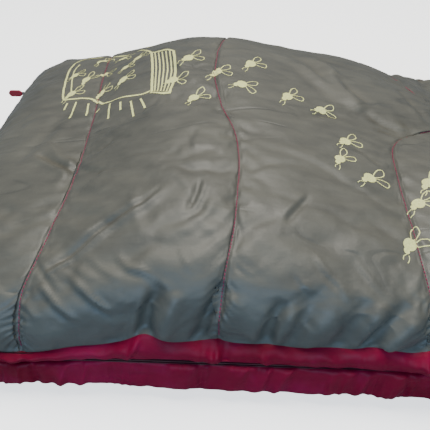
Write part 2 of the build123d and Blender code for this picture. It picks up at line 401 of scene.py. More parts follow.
def line_field(at_x, at_v, line, width):
    """How near each point is to a line on the cloth: signed distance in widths, and a taper along it."""
    best = np.full(at_x.shape, 99.0)
    side = np.zeros(at_x.shape)
    along = np.zeros(at_x.shape)
    lengths = [dist(a, b) for a, b in zip(line, line[1:])]
    done = 0.0
    for (a, b), length in zip(zip(line, line[1:]), lengths):
        dx = (b[0] - a[0]) / length
        dv = (b[1] - a[1]) / length
        t = np.clip((at_x - a[0]) * dx + (at_v - a[1]) * dv, 0, length)
        off_x = at_x - a[0] - t * dx
        off_v = at_v - a[1] - t * dv
        d = np.hypot(off_x, off_v)
        closer = d < best
        best = np.where(closer, d, best)
        side = np.where(closer, np.sign(off_x * dv - off_v * dx), side)
        along = np.where(closer, (done + t) / sum(lengths), along)
        done += length
    taper = np.sqrt(np.sin(pi * np.clip(along, 0.0, 1.0)) + 1e-9)
    return best / width * side, taper


def add_lines(lift, at_x, at_v, lines):
    """Add ridges (height above 0) and valleys (below 0), each with a softer counter-fold on one side."""
    for height, width, line in lines:
        reach = 5 * width
        xs = [p[0] for p in line]
        vs = [p[1] for p in line]
        box = (at_x > min(xs) - reach) & (at_x < max(xs) + reach)
        box &= (at_v > min(vs) - reach) & (at_v < max(vs) + reach)
        if not box.any():
            continue
        d, taper = line_field(at_x[box], at_v[box], line, width)
        fold = np.exp(-(d**2)) - 0.55 * np.exp(-(((d - 1.7) / 1.2) ** 2))
        lift[box] += height * fold * taper


# -------------------- the top quilt's shell
noise_at = row_x + 3, row_across * 0.4 + 3
start_noise = 0.0005 * value_noise(*noise_at, 0.050, 3) + 0.0004 * value_noise(*noise_at, 0.016, 4)
held = held_points(row_x)
loose = base + grid_normals(base) * (start_noise * (1 - held))[..., None]
loose = relax_cloth(loose, held, pressure=0.30, growth=0.009, cap=0.0040, frames=18)

shell = doubled(loose)
plain = doubled(base)
shell_x = doubled(row_x[..., None])[..., 0]
cloth_x = plain[..., 0]
cloth_v = run_along(plain, 1)
far_v = cloth_v[:, -1:] - cloth_v

# folds and creases on the zip side, in millimetres: height, width, then points as place along the bag and
# distance up from the hem
creases = []
for fold in (
    (-13, 10, -527, -10, -521, 30, -507, 74), (-4, 11, -556, -10, -538, 30, -516, 64),
    (4, 6, -541, 0, -531, 30, -517, 66), (-9.5, 9, -471, -10, -462, 30, -443, 72),
    (-8.5, 8, -400, -10, -396, 20, -383, 62), (2.2, 4, -388, -10, -386, 40),
    (-6, 12, -382, -10, -370, 24, -350, 70), (-6.5, 11, -328, -10, -316, 20, -300, 62),
    (-10, 9, -300, -10, -288, 12, -256, 60), (-4.5, 12, -240, -10, -232, 18, -220, 55),
    (3.4, 3.2, -637, 87, -614, 60, -593, 39), (3.6, 3.4, -606, 91, -587, 73, -549, 42),
    (1.8, 3, -650, 67, -636, 47), (1.7, 2.6, -616, 114, -589, 91, -575, 83),
    (2.6, 2.8, -649, 118, -633, 102, -612, 76), (1.6, 2.4, -591, 113, -574, 99, -549, 79),
    (2.8, 3, -557, 110, -540, 91, -511, 68), (-1.8, 2.4, -575, 70, -547, 38), (1, 2.2, -490, 114, -477, 85),
    (-1.6, 3, -669, 27, -650, 15), (1.9, 2.6, -352, 112, -343, 94, -326, 76, -317, 60),
    (1.6, 2.4, -309, 107, -294, 81, -281, 62), (1.5, 2.4, -372, 92, -355, 68),
    (1.3, 2.4, -431, 98, -413, 85), (-1.8, 2.6, -438, 76, -425, 56),
    (-5.8, 4.2, -636, 100, -600, 126, -574, 151, -516, 184), (-2.2, 11, -604, 97, -538, 106, -456, 123),
    (-2.6, 7, -705, 134, -674, 162, -650, 179), (-2, 6, -712, 162, -697, 182),
    (-2.4, 6, -522, 122, -473, 160, -466, 194), (-4.2, 3.6, -485, 160, -478, 180, -474, 203),
    (-3.4, 3.6, -352, 190, -366, 170, -380, 148), (-2.2, 12, -326, 150, -278, 149, -243, 124),
    (-1.8, 11, -386, 134, -353, 125, -306, 128), (-2.4, 8, -438, 108, -418, 140, -388, 160),
    (2.4, 12, -632, 118, -567, 160, -500, 188), (-3, 10, -728, 262, -703, 330, -690, 400),
    (-6, 5, -700, 290, -668, 276, -636, 258), (2.2, 5, -636, 270, -668, 292, -690, 318),
    (-2.6, 5, -634, 262, -600, 244, -560, 238), (-2.4, 6, -436, 214, -470, 222, -520, 216),
    (-2.4, 6, -430, 214, -398, 236, -352, 244), (7, 12, -329, 587, -296, 545, -276, 468, -262, 415),
    (6, 10, -340, 535, -312, 487, -294, 457, -282, 425), (-6, 10, -288, 520, -268, 470, -236, 440),
    (-4, 7, -180, 540, -166, 485, -154, 430), (-3, 6, -258, 417, -231, 390, -200, 378),
    (-3, 5, -246, 372, -226, 366, -205, 360), (-3, 6, -206, 430, -192, 402, -188, 360),
    (-3, 9, -356, 345, -315, 374, -284, 386), (-2.8, 6, -300, 296, -268, 279, -246, 250),
    (4, 10, -566, 590, -530, 499, -496, 428), (-2.6, 6, -638, 298, -639, 262, -642, 216),
    (-3, 6, -620, 292, -596, 312, -570, 307), (-2, 5, -490, 248, -493, 273, -485, 305),
    (1.4, 6, -530, 126, -546, 172, -547, 200),
):
    height, width, *line = metres(*fold)
    creases.append((height, width, pairs(line)))

# the same kinds of fold where nothing shows them, on the head half and the far side
sewing = np.random.default_rng(11)
for x in np.arange(-0.13, 0.80, 0.062):
    x += sewing.uniform(-0.016, 0.016)
    lean = sewing.uniform(0.005, 0.03)
    top = sewing.uniform(0.045, 0.075)
    creases.append((-sewing.uniform(0.003, 0.007), sewing.uniform(0.008, 0.012),
                    [(x, -0.01), (x + lean, top)]))
for _ in range(60):
    x = sewing.uniform(-0.20, 0.80)
    v = sewing.uniform(0.05, 0.13)
    run = sewing.uniform(0.015, 0.045)
    creases.append((sewing.uniform(0.001, 0.0022), sewing.uniform(0.0022, 0.0034),
                    [(x, v), (x + run * 0.5, v - run * 0.42), (x + run, v - run)]))
for _ in range(70):
    x = sewing.uniform(-0.78, 0.80)
    v = sewing.uniform(0.16, 0.55)
    run = sewing.uniform(0.04, 0.11)
    turn = sewing.uniform(-0.9, 0.9)
    end = (x + run * cos(turn), v + run * sin(turn))
    middle = ((x + end[0]) / 2 + sewing.uniform(-0.01, 0.01), (v + end[1]) / 2)
    creases.append((sewing.uniform(-0.0020, 0.0012), sewing.uniform(0.004, 0.012), [(x, v), middle, end]))
far_creases = []
for x in np.arange(-0.76, 0.80, 0.055):
    x += sewing.uniform(-0.018, 0.018)
    top = sewing.uniform(0.04, 0.07)
    far_creases.append((-sewing.uniform(0.003, 0.006), sewing.uniform(0.008, 0.012),
                        [(x, -0.01), (x + sewing.uniform(-0.02, 0.02), top)]))

lift = np.zeros(cloth_x.shape)
add_lines(lift, cloth_x, cloth_v, creases)
add_lines(lift, cloth_x, far_v, far_creases)

# each row of stitching: a narrow groove, and small slanting puckers that grow towards the hems
gap = seam_gap(shell_x)
edge = np.minimum(cloth_v, far_v)
gather = 0.22 + 0.78 * smooth((0.080 - edge) / 0.03)
slant = (edge + 0.75 * gap) / 0.0095 + 0.6 * value_noise(cloth_x + 3, cloth_v, 0.02, 8)
lift -= 0.0012 * bump(gap, 0, 0.0026)
lift -= 0.0035 * bump(gap, 0, 0.012) * smooth((0.09 - edge) / 0.05)
lift += 0.0019 * gather * np.sin(2 * pi * slant) * np.exp(-(gap / 0.011)) * np.minimum(gap / 0.0025, 1)
lift += 0.0007 * np.sin(2 * pi * slant * 0.31 + 1) * np.exp(-(gap / 0.030)) * np.minimum(gap / 0.006, 1)

# slack in the satin: long shallow folds that run mostly along the bag, and fine rumples
bend = 0.03 * value_noise(cloth_x + 3, cloth_v, 0.11, 21)
soft = value_noise(cloth_x * 0.45 + 3, cloth_v + bend + 0.22 * cloth_x + 1, 0.034, 22)
fine = value_noise(cloth_x * 0.6 + 3, cloth_v + bend - 0.5 * cloth_x + 2, 0.013, 23)
calm = 1 - 0.5 * bump(gap, 0, 0.006)
lift += (0.0012 * soft - 0.0010 * np.abs(soft)) * calm + 0.00022 * fine * calm

# crisp creases: short lengths of a fold line, lower on one side than the other
for size, seed, lean in ((0.085, 81, 0.9), (0.060, 84, 0.5), (0.045, 87, 1.3)):
    at = cloth_x * 0.55 + 3, cloth_v + bend + lean * cloth_x * 0.55 + 2
    line = value_noise(*at, size, seed) / 0.12
    here = smooth(value_noise(*at, size * 1.1, seed + 1) * 2.2 - 0.1) * calm
    lift += size * 0.020 * here * (0.6 * np.tanh(line) * np.exp(-np.abs(line) / 3) - 0.7 * np.exp(-(line**2)))
lift *= smooth(edge / 0.004) * 0.85 + 0.15
shell = shell + grid_normals(shell) * lift[..., None]


# -------------------- paths round the edge
edge_places = 1500


def edge_density(walked):
    """Twice as many places round the zip side's foot half, which the camera is closest to."""
    return np.where(np.abs(walked - 1.3) < 0.55, 2.0, 1.0)


def outline(inset, count):
    """Path of the edge, seen from above: from the head end along the zip side, round the foot and back.

    Returns its points, the directions out from it and the distance walked to each point.
    """
    w = half_width - inset
    l = half_length - inset
    r = corner - inset
    line = [(half_length, -w), (-l + r, -w)]
    line += [(-l + r - r * sin(a), -w + r - r * cos(a)) for a in np.linspace(0.1, pi / 2, 14)]
    line += [(-l, w - r)]
    line += [(-l + r - r * cos(a), w - r + r * sin(a)) for a in np.linspace(0.1, pi / 2, 14)]
    line += [(half_length, w)]
    line = np.array(line)
    walked = run_along(line, 0)
    near = graded(0, walked[-1], count, edge_density)
    p = placed(near, walked, line)
    return p, path_normals(p), near


def path_normals(p):
    """Directions out from a path, smoothed round its corners."""
    t = np.gradient(p, axis=0)
    n = unit(np.stack([-t[:, 1], t[:, 0]], -1), 1e-12)
    kernel = np.hanning(15)
    kernel /= kernel.sum()
    n = np.stack([np.convolve(np.pad(n[:, i], 7, mode="edge"), kernel, "valid") for i in (0, 1)], -1)
    return unit(n)


def inset_of(p):
    """How far inside the bag's plan each point lies."""
    x = np.minimum(p[:, 0], 0.0)
    qx = np.abs(x) - (half_length - corner)
    qy = np.abs(p[:, 1]) - (half_width - corner)
    return corner - np.hypot(np.maximum(qx, 0), np.maximum(qy, 0)) - np.minimum(np.maximum(qx, qy), 0)


def close_ends(grid):
    """Fold both open ends of a rolled strip in on themselves."""
    def cap(row):
        middle = row.mean(0)
        return [middle + (row - middle) * k for k in (0.0, 0.5, 0.96)]

    return np.concatenate([cap(grid[0]), grid, cap(grid[-1])[::-1]])


def ridged(u, v, scale, seed, sharp=0.10):
    """Thin crests over broad hollows, from -1 to 1."""
    n = value_noise(u, v, scale, seed)
    return 1 - 2 * np.sqrt(n * n + sharp * sharp)


# -------------------- upper facing
hem_line = np.concatenate([shell[::-1, 0], shell[0, 1:-1], shell[:, -1]])
hem_walked = run_along(hem_line, 0)
hem_at = graded(0, hem_walked[-1], edge_places, edge_density)
hem = placed(hem_at, hem_walked, hem_line)
hem_out = path_normals(hem[:, :2])
sag = foot_sag(hem[:, 0]) * (hem[:, 1] < 0)
bow = spread(hem[:, 0], hem[:, 1])
facing_inset = 0.0060
facing_front = 0.78  # the share of its width that faces out; the rest turns in towards the zip
facing_turn_in = 0.014
bulge = inset_of(hem) - facing_inset + 0.0035 * sag + bow
lip_z = gap_high + 0.0012 * value_noise(hem_at + 1, 0, 0.05, 31)
lip_z = lip_z + 0.0008 * value_noise(hem_at + 1, 0, 0.017, 32)
lip_z += 0.0020 * bump(hem[:, 0], -0.52, 0.03) * (hem[:, 1] < 0) - 0.0062 * sag
profile = np.linspace(0, 1, 18)
facing = np.zeros((len(hem), len(profile), 3))
for k, t in enumerate(profile):
    down = min(t / facing_front, 1.0)
    back = max((t - facing_front) / (1 - facing_front), 0.0)
    out = bulge * sin(pi / 2 * min(down * 1.5, 1)) ** 0.8
    out = out - (facing_turn_in + bow) * back**1.4 - 0.0012 * down**6
    z = hem[:, 2] * (1 - down) + lip_z * down + 0.0015 * sin(pi * min(back * 2, 1)) * (back > 0)
    z -= 0.0016 * sin(pi * min(max((down - 0.75) * 4, 0), 1))
    facing[:, k, :2] = hem[:, :2] + hem_out * out[:, None]
    facing[:, k, 2] = z
face_u, face_t, face_x = hem_at[:, None], profile[None], hem[:, :1]
mask = np.sin(pi * np.clip(face_t / 0.85, 0, 1)) ** 0.7
tall = (hem[:, 2] - lip_z)[:, None] / 0.025
slide = face_u + 0.020 * face_t
folds = 0.0032 * ridged(slide + 2, face_t * 0.02 + 1, 0.026, 33)
folds += 0.0012 * ridged(slide * 1.3 - face_t * 0.03 + 5, face_t * 0.01, 0.014, 34)
front = hem[:, 1:2] < zip_side_y
for s in seams:
    real = second_pucker_x if s == seams[1] else s
    at = bump(face_x, real, 0.0075) * front
    groove = bump(face_x, real, 0.0026) * front * bump(face_t, 0.45, 0.2)
    folds += 0.0050 * at * bump(face_t, 0.56, 0.20) - 0.0030 * groove
    folds -= 0.0022 * (bump(face_x, real - 0.012, 0.005) + bump(face_x, real + 0.012, 0.005)) * front
notch_left = -0.530 - 0.022 * face_t
folds += front * 0.0022 * bump(face_x, -0.533 - 0.020 * face_t, 0.0035) * tall
folds -= front * 0.0030 * smooth((face_x - notch_left) / 0.006) * (1 - smooth((face_x + 0.512) / 0.02)) * mask
facing = facing + grid_normals(facing) * (folds * mask * np.clip(tall, 0.4, 1.3))[..., None]

# -------------------- lower band
rim, rim_out, rim_at = outline(0.0, edge_places)
wave = rim_at + 1, 0
lifted = 0.0024 + 0.0026 * value_noise(*wave, 0.060, 41) + 0.0014 * value_noise(*wave, 0.024, 42)
top_z = gap_low + 0.0006 * value_noise(*wave, 0.04, 43) - 0.0095 * foot_sag(rim[:, 0]) * (rim[:, 1] < 0)
turn_in = 0.0015 * value_noise(*wave, 0.07, 44)
# distance in from the outline and height down the band, in millimetres, from inside its upper lip to under
# the bag
section = pairs(metres(
    23, 50, 17, 53.2, 12, 54, 9, 53.4, 7.2, 51.4, 6.2, 48, 5.2, 43, 4.2, 37, 3.4, 31, 3, 25, 3.2, 19.5,
    4, 14.5, 5.5, 10, 7.6, 6, 10.5, 3, 14.5, 1.2, 20, 0.5, 28, 0.4, 42, 1))
section = resample(np.array(section), 30, 0)
band = np.zeros((len(rim), len(section), 3))
share = np.linspace(0, 1, len(section))
for k, (inset, z) in enumerate(section):
    low = smooth((0.020 - z) / 0.018)
    into = inset + low * lifted + turn_in * low
    bowed = smooth(share[k] / 0.18) * (1 - smooth((share[k] - 0.76) / 0.2))
    into = into - spread(rim[:, 0], rim[:, 1]) * bowed
    band[:, k, :2] = rim - rim_out * into[:, None]
    band[:, k, 2] = z * (top_z / gap_low) + lifted * low * (0.3 if inset > 0.02 else 1.0)
band_u, band_t, band_x = rim_at[:, None], share[None], rim[:, :1]
band_front = rim[:, 1:2] < zip_side_y
mask = smooth((band_t - 0.12) / 0.12) * (1 - 0.85 * smooth((band_t - 0.52) / 0.2))
slide = band_u - 0.040 * band_t
folds = 0.0032 * ridged(slide + 2, band_t * 0.03 + 1, 0.022, 45)
folds += 0.0016 * ridged(slide * 1.2 + 0.03 * band_t + 4, band_t * 0.02, 0.010, 46)
folds += 0.0020 * value_noise(slide + 6, band_t * 0.02, 0.05, 47)
puckers = np.sin(2 * pi * (band_t * 0.075 / 0.0075 + 0.4 * np.abs(band_x - foot_pucker_x) / 0.006))
for real in [foot_pucker_x] + [s - 0.02 for s in seams[1:]]:
    near_seam = np.abs(band_x - real)
    folds -= 0.0034 * bump(near_seam, 0, 0.0035) * band_front
    folds += 0.0007 * puckers * np.exp(-near_seam / 0.009) * band_front
band = band + grid_normals(band) * (folds * mask)[..., None]
band[..., 2] = np.maximum(band[..., 2], 0.0003)


# -------------------- underside and linings
def inner_surface(xs, turns):
    """The top quilt's lining: an arch inside the shell, puffed between its rows of stitching."""
    x, _, across, up = arch(xs, turns)
    f = fullness(x)
    steep = smooth((np.abs(across) - 0.8) / 0.2)
    y = half_span(x, 0.028 + 0.012 * f * steep) * across
    world_x = x + wander(x, y) * 0.8 + 0.035 * (1 - smooth((x + half_length) / 0.12))
    inner_rise = np.maximum(crown_rise(x) + 0.003 - 0.029 * f - settle(x, y), 0.001)
    inner_rise = inner_rise * smooth((x + half_length) / 0.05 + 0.15)
    return np.stack([world_x, y, 0.0625 + inner_rise * up], -1), x


def rumple(points, size, seed):
    """Two sizes of small rumple in slack cloth."""
    at = points[..., 0] * 0.6 + 3, points[..., 1] + 3
    return size * value_noise(*at, 0.05, seed) + 0.5 * size * value_noise(*at, 0.018, seed + 1)


def seam_puckers(x, y, size):
    """Small gathers on each side of a row of stitching, and the groove under it."""
    d = seam_gap(x)
    w = 2 * pi * (y / 0.011 + 0.6 * d / 0.009)
    return size * np.sin(w) * np.exp(-d / 0.012) * np.minimum(d / 0.003, 1) - size * bump(d, 0, 0.003)


lining_rows = places_with_seams(190, lambda x: 1 + 1.4 * bump(seam_gap(x), 0, 0.014))
inner, inner_x = inner_surface(lining_rows, shell_turns(84))
lining_held = held_points(inner_x)
inner = inner - grid_normals(inner) * (rumple(inner, 0.0009, 51) * (1 - lining_held))[..., None]
inner = relax_cloth(inner[:, ::-1], lining_held[:, ::-1], pressure=0.3, growth=0.020, cap=0.006, frames=16)
inner = inner[:, ::-1]
inner = doubled(inner)
inner_x = doubled(inner_x[..., None])[..., 0]
inner_edge = edge_distance(inner)
inner_lift = seam_puckers(inner_x, inner[..., 1], 0.0010) + rumple(inner, 0.0008, 52)
inner = inner - grid_normals(inner) * (inner_lift * smooth(inner_edge / 0.01))[..., None]

floor_y = 0.5 - 0.5 * np.cos(np.linspace(0, pi, 72))
floor_y = 0.5 * floor_y + 0.5 * np.linspace(0, 1, 72)
floor_x, floor_y = np.meshgrid(lining_rows, (floor_y * 2 - 1), indexing="ij")
plan_y = half_span(floor_x, 0.016) * floor_y
plan_x = floor_x + 0.016 * (1 - smooth((floor_x + half_length) / 0.06)) + 0.5 * wander(floor_x, plan_y)
f = fullness(floor_x)
rim_share = smooth((np.abs(plan_y) - (half_span(floor_x, 0.016) - 0.035)) / 0.035)
rim_share = np.maximum(rim_share, smooth((-half_length + 0.045 - floor_x) / 0.045))
bed_z = (0.0300 + 0.0155 * f) * (1 - rim_share) + 0.0505 * rim_share
bed = np.stack([plan_x, plan_y, bed_z], -1)
bed_held = held_points(floor_x)
bed = bed + np.array([0, 0, 1.0]) * (rumple(bed, 0.0009, 53) * (1 - bed_held))[..., None]
bed = relax_cloth(bed, bed_held, pressure=0.25, growth=0.020, cap=0.0022, frames=14)
bed = doubled(bed)
bed_x = doubled(floor_x[..., None])[..., 0]
bed_edge = edge_distance(bed)
bed_lift = seam_puckers(bed_x, bed[..., 1], 0.0009) + rumple(bed, 0.0006, 54)
bed[..., 2] += bed_lift * smooth(bed_edge / 0.01)

under_x, under_y = np.meshgrid(lining_rows, np.linspace(-1, 1, 60), indexing="ij")
under_py = half_span(under_x, 0.036) * under_y
under_z = 0.0004 + 0.0050 * (1 - fullness(under_x)) * smooth((1 - np.abs(under_y)) / 0.06)
under = np.stack([under_x * 0.966 + 0.0285, under_py, under_z], -1)
under = doubled(under)
under_px = doubled(under_x[..., None])[..., 0]
under[..., 2] += 0.0006 + rumple(under, 0.0004, 55) + 0.6 * seam_puckers(under_px, under[..., 1], 0.0005)
under[..., 2] = np.maximum(under[..., 2], 0.0002)


# -------------------- hems at the head end
hem_reach = 0.0045


def hem_roll(outer, inner_part):
    """A folded hem: from the outer cloth, round the open end, on to the inner cloth."""
    ahead = np.array([hem_reach, 0, 0])
    rounds = [outer[-1] * (1 - t) + inner_part[-1] * t + ahead * sin(pi * t) ** 0.6
              for t in np.linspace(0.08, 0.92, 9)]
    grid = np.concatenate([outer, np.array(rounds), inner_part[::-1]])
    w = run_along(grid, 1)
    v = run_along(grid, 0)
    ripple = 0.0007 * ridged(w + 1, v * 0.6 + 1, 0.030, 61)
    ripple += 0.0006 * np.sin(2 * pi * w / 0.012) * np.exp(-((v - 0.004) / 0.006) ** 2)
    return grid + grid_normals(grid) * ripple[..., None]


hem_band = 0.045
hem_clearance = 0.0010


def end_rows(grid, offset):
    """Evenly spaced rows of the last stretch of a grid towards the head end, moved out along its normals."""
    moved = grid + grid_normals(grid) * offset
    middle_x = grid[:, grid.shape[1] // 2, 0]
    targets = half_length - hem_band * (1 - np.linspace(0, 1, 9))
    ends = [moved[int(np.argmin(np.abs(middle_x - target)))] for target in targets]
    return resample(np.array(ends), 200, 1)


def upwards(grid):
    """1 if a grid's normals point up in the middle of the bag, -1 if they point down."""
    return np.sign(grid_normals(grid)[200, 80, 2])


top_hem = hem_roll(end_rows(shell, upwards(shell) * hem_clearance),
                   end_rows(inner, -upwards(inner) * hem_clearance))
bed_outer = end_rows(bed, upwards(bed) * hem_clearance)
under_inner = end_rows(under, 0.0)
under_inner[..., 2] = np.maximum(under_inner[..., 2] - 0.0004, 0.0001)
under_inner[..., 1] = under_inner[..., 1] * 1.06
bottom_hem = hem_roll(under_inner, bed_outer)

# -------------------- joining strip, opposite the zip
strip_x = np.linspace(-half_length + 0.05, half_length - 0.004, 420)
strip_turn = np.linspace(-0.5, 0.5, 13)
sx, st = np.meshgrid(strip_x, strip_turn, indexing="ij")
ripple = 0.0006 * ridged(sx + 2, st * 0.01 + 1, 0.018, 71)
strip = np.stack([sx, 0.3230 + (0.0060 + ripple) * np.cos(st * pi), 0.0562 + 0.0042 * np.sin(st * pi)], -1)
sewn_in = np.array([0, 0.012, 0])
strip = np.concatenate([strip[:, :1] - sewn_in, strip, strip[:, -1:] - sewn_in], 1)


# -------------------- materials
def node(tree, kind, **settings):
    n = tree.nodes.new(kind)
    for key, value in settings.items():
        if hasattr(n, key):
            setattr(n, key, value)
        else:
            n.inputs[key.replace("_", " ")].default_value = value
    return n


def join(source, socket):
    """Link two sockets. A socket's id_data is the node tree that it is in."""
    socket.id_data.links.new(source, socket)


def maths(operation, *values):
    n = node(values[0].id_data, "ShaderNodeMath", operation=operation)
    for value, socket in zip(values, n.inputs):
        if isinstance(value, float):
            socket.default_value = value
        else:
            join(value, socket)
    return n.outputs["Value"]


def noise(source, scale, detail=3.0, roughness=0.5, stretch=None, turn=0.0):
    if stretch is not None:
        mapping = node(source.id_data, "ShaderNodeMapping", Rotation=(0, 0, turn), Scale=stretch)
        join(source, mapping.inputs["Vector"])
        source = mapping.outputs["Vector"]
    n = node(source.id_data, "ShaderNodeTexNoise", Scale=scale, Detail=detail, Roughness=roughness)
    join(source, n.inputs["Vector"])
    return n.outputs["Fac"]


def ramp(source, stops):
    n = node(source.id_data, "ShaderNodeValToRGB")
    elements = n.color_ramp.elements
    while len(elements) < len(stops):
        elements.new(0.5)
    for element, (place, colour) in zip(elements, stops):
        element.position = place
        element.color = (*colour, 1)
    join(source, n.inputs["Fac"])
    return n.outputs["Color"]


def to_range(source, low, high, old_low=0.3, old_high=0.7):
    n = node(source.id_data, "ShaderNodeMapRange", From_Min=old_low, From_Max=old_high, To_Min=low, To_Max=high)
    join(source, n.inputs["Value"])
    return n.outputs["Result"]


def mixed(a, b, factor, blend_type="MIX"):
    n = node(a.id_data, "ShaderNodeMix", data_type="RGBA", blend_type=blend_type)
    join(a, n.inputs[6])
    join(b, n.inputs[7])
    if isinstance(factor, float):
        n.inputs[0].default_value = factor
    else:
        join(factor, n.inputs[0])
    return n.outputs[2]


def tinted(colour, source, low, high, factor):
    """A colour multiplied by a ramp between two (place, colour) stops."""
    return mixed(colour, ramp(source, [low, high]), factor, "MULTIPLY")


def bumped(height, strength, distance, under=None):
    n = node(height.id_data, "ShaderNodeBump", Strength=strength, Distance=distance)
    join(height, n.inputs["Height"])
    if under is not None:
        join(under, n.inputs["Normal"])
    return n.outputs["Normal"]


def new_material(name, **sockets):
    m = bpy.data.materials.new(name)
    m.use_nodes = True
    bsdf = m.node_tree.nodes["Principled BSDF"]
    for key, value in sockets.items():
        bsdf.inputs[key.replace("_", " ")].default_value = value
    return m, m.node_tree, bsdf


def weave(tree, pitch):
    """Crossing threads, from the cloth's own coordinates in metres."""
    uv = node(tree, "ShaderNodeUVMap", uv_map="cloth").outputs["UV"]
    heights = []
    for direction in ("X", "Y"):
        wave = node(tree, "ShaderNodeTexWave", wave_type="BANDS", bands_direction=direction,
                    Scale=2 * pi / (20 * pitch), Distortion=0.6, Detail=1.0)
        join(uv, wave.inputs["Vector"])
        heights.append(wave.outputs["Fac"])
    return maths("MULTIPLY", *heights)


def crease_lines(place, scale, stretch, width, turn):
    """Thin broken lines in the cloth: 1 on a line, 0 away from it."""
    slow = noise(place, scale, 0.6, 0.3, stretch, turn)
    near = maths("ABSOLUTE", maths("SUBTRACT", slow, 0.5))
    line = to_range(near, 1.0, 0.0, 0.0, width)
    part = to_range(noise(place, scale * 1.1, 1.0, 0.4), 0.0, 1.0, 0.52, 0.64)
    return maths("MULTIPLY", line, part)


def satin(name, shades, worn, roughness, sheen, tint, crinkle, gloss):
    """Satin polyester: uneven dye, woven threads, small rumples, painted shade along its crease lines, and a
    soft sheen.
    """
    m, tree, bsdf = new_material(name, Sheen_Weight=sheen, Sheen_Roughness=0.35, Sheen_Tint=(*tint, 1),
                                 Specular_IOR_Level=gloss)
    place = node(tree, "ShaderNodeTexCoord").outputs["Object"]
    broad = noise(place, 7.0, 4.0, 0.55)
    streak = noise(place, 55.0, 3.0, 0.6, (0.25, 1.0, 1.0))
    threads = weave(tree, 0.0007)
    colour = ramp(broad, list(zip((0.32, 0.5, 0.68), shades)))
    colour = tinted(colour, streak, (0.35, (0.86, 0.86, 0.87)), (0.65, (1.12, 1.12, 1.10)), 0.7)
    colour = tinted(colour, threads, (0.0, (0.90, 0.90, 0.90)), (1.0, (1.06, 1.06, 1.06)), 0.8)
    flat = node(tree, "ShaderNodeRGB")
    flat.outputs[0].default_value = (*worn, 1)
    rubbed = to_range(noise(place, 28.0, 5.0, 0.7), 0.0, 0.35, 0.55, 0.75)
    colour = mixed(colour, flat.outputs[0], rubbed)
    join(to_range(streak, *roughness), bsdf.inputs["Roughness"])
    rumples = noise(place, 60.0, 5.0, 0.55, (0.7, 1.0, 1.0))
    first = crease_lines(place, 14.0, (0.28, 1.0, 0.6), 0.022, -0.75)
    second = crease_lines(place, 17.0, (0.24, 1.0, 0.6), 0.024, 0.35)
    crease_dents_and_shade = maths("MAXIMUM", first, second)
    # painted shade: the colour is darkened along the crease lines, in the bottoms of the creases that the bump
    # below dents
    colour = tinted(colour, crease_dents_and_shade, (0.0, (1.0, 1.0, 1.0)), (1.0, (0.84, 0.85, 0.86)), 1.0)
    join(colour, bsdf.inputs["Base Color"])
    small = noise(place, 240.0, 3.0, 0.6)
    normal = bumped(to_range(crease_dents_and_shade, 1.0, 0.0, 0.0, 1.0), 1.4 * crinkle, 0.0012)
    normal = bumped(rumples, crinkle, 0.0022, normal)
    normal = bumped(small, 0.25, 0.0005, normal)
    normal = bumped(threads, 0.30, 0.00012, normal)
    join(normal, bsdf.inputs["Normal"])
    return m


def spun(name, dark, light, scale=900.0, roughness=0.6):
    """Twisted thread or dyed tape: two tones of fibre with a fine twist."""
    m, tree, bsdf = new_material(name, Sheen_Weight=0.04, Sheen_Roughness=0.4, Specular_IOR_Level=0.25)
    place = node(tree, "ShaderNodeTexCoord").outputs["Object"]
    fibre = noise(place, scale, 3.0, 0.6, (1.0, 0.6, 1.6))
    join(ramp(fibre, [(0.35, dark), (0.65, light)]), bsdf.inputs["Base Color"])
    join(to_range(fibre, roughness - 0.1, roughness + 0.1), bsdf.inputs["Roughness"])
    join(bumped(fibre, 0.5, 0.0003), bsdf.inputs["Normal"])
    return m


def plastic(name, dark, light, scale, depth, roughness, metallic=0.0, coat=0.0):
    """Moulded or plated finish with fine grain, scuffs and uneven gloss."""
    m, tree, bsdf = new_material(name, Metallic=metallic, Coat_Weight=coat, Coat_Roughness=0.25)
    place = node(tree, "ShaderNodeTexCoord").outputs["Object"]
    grain = noise(place, scale, 4.0, 0.6)
    cloud = noise(place, scale * 0.12, 3.0, 0.5)
    scratch = noise(place, scale * 0.9, 2.0, 0.5, (1.0, 0.06, 1.0))
    colour = ramp(cloud, [(0.3, dark), (0.7, light)])
    colour = tinted(colour, scratch, (0.4, (0.85, 0.85, 0.85)), (0.7, (1.15, 1.15, 1.15)), 0.5)
    join(colour, bsdf.inputs["Base Color"])
    join(to_range(scratch, roughness - 0.08, roughness + 0.12), bsdf.inputs["Roughness"])
    join(bumped(grain, 0.4, depth), bsdf.inputs["Normal"])
    return m


grey_satin = satin(
    "grey_satin", [(0.074, 0.071, 0.059), (0.086, 0.082, 0.068), (0.098, 0.094, 0.078)],
    (0.098, 0.096, 0.082), roughness=(0.44, 0.58), sheen=0.06, tint=(0.75, 0.88, 1.0), crinkle=0.35, gloss=0.40)
crimson_satin = satin(
    "crimson_satin", [(0.150, 0.001, 0.014), (0.205, 0.0015, 0.024), (0.260, 0.003, 0.040)],
    (0.230, 0.006, 0.060), roughness=(0.36, 0.50), sheen=0.04, tint=(1.0, 0.20, 0.45), crinkle=0.45, gloss=0.12)
crimson_lining = satin(
    "crimson_lining", [(0.115, 0.003, 0.014), (0.150, 0.004, 0.020), (0.190, 0.006, 0.030)],
    (0.160, 0.008, 0.045), roughness=(0.42, 0.56), sheen=0.05, tint=(1.0, 0.25, 0.5), crinkle=0.35, gloss=0.25)
thread_finish = spun("crimson_thread", (0.12, 0.010, 0.030), (0.30, 0.030, 0.085))
tape_finish = spun("zip_tape_weave", (0.018, 0.001, 0.004), (0.045, 0.003, 0.010), 1300.0, 0.75)
ink_finish = spun("pale_yellow_ink", (0.56, 0.56, 0.22), (0.70, 0.70, 0.31), 700.0, 0.62)
coil_finish = plastic("zip_coil_nylon", (0.030, 0.004, 0.009), (0.060, 0.008, 0.016), 500.0, 0.0002, 0.38)
metal_finish = plastic("plated_metal", (0.20, 0.20, 0.21), (0.34, 0.34, 0.35), 900.0, 0.00008, 0.34,
                       metallic=1.0)
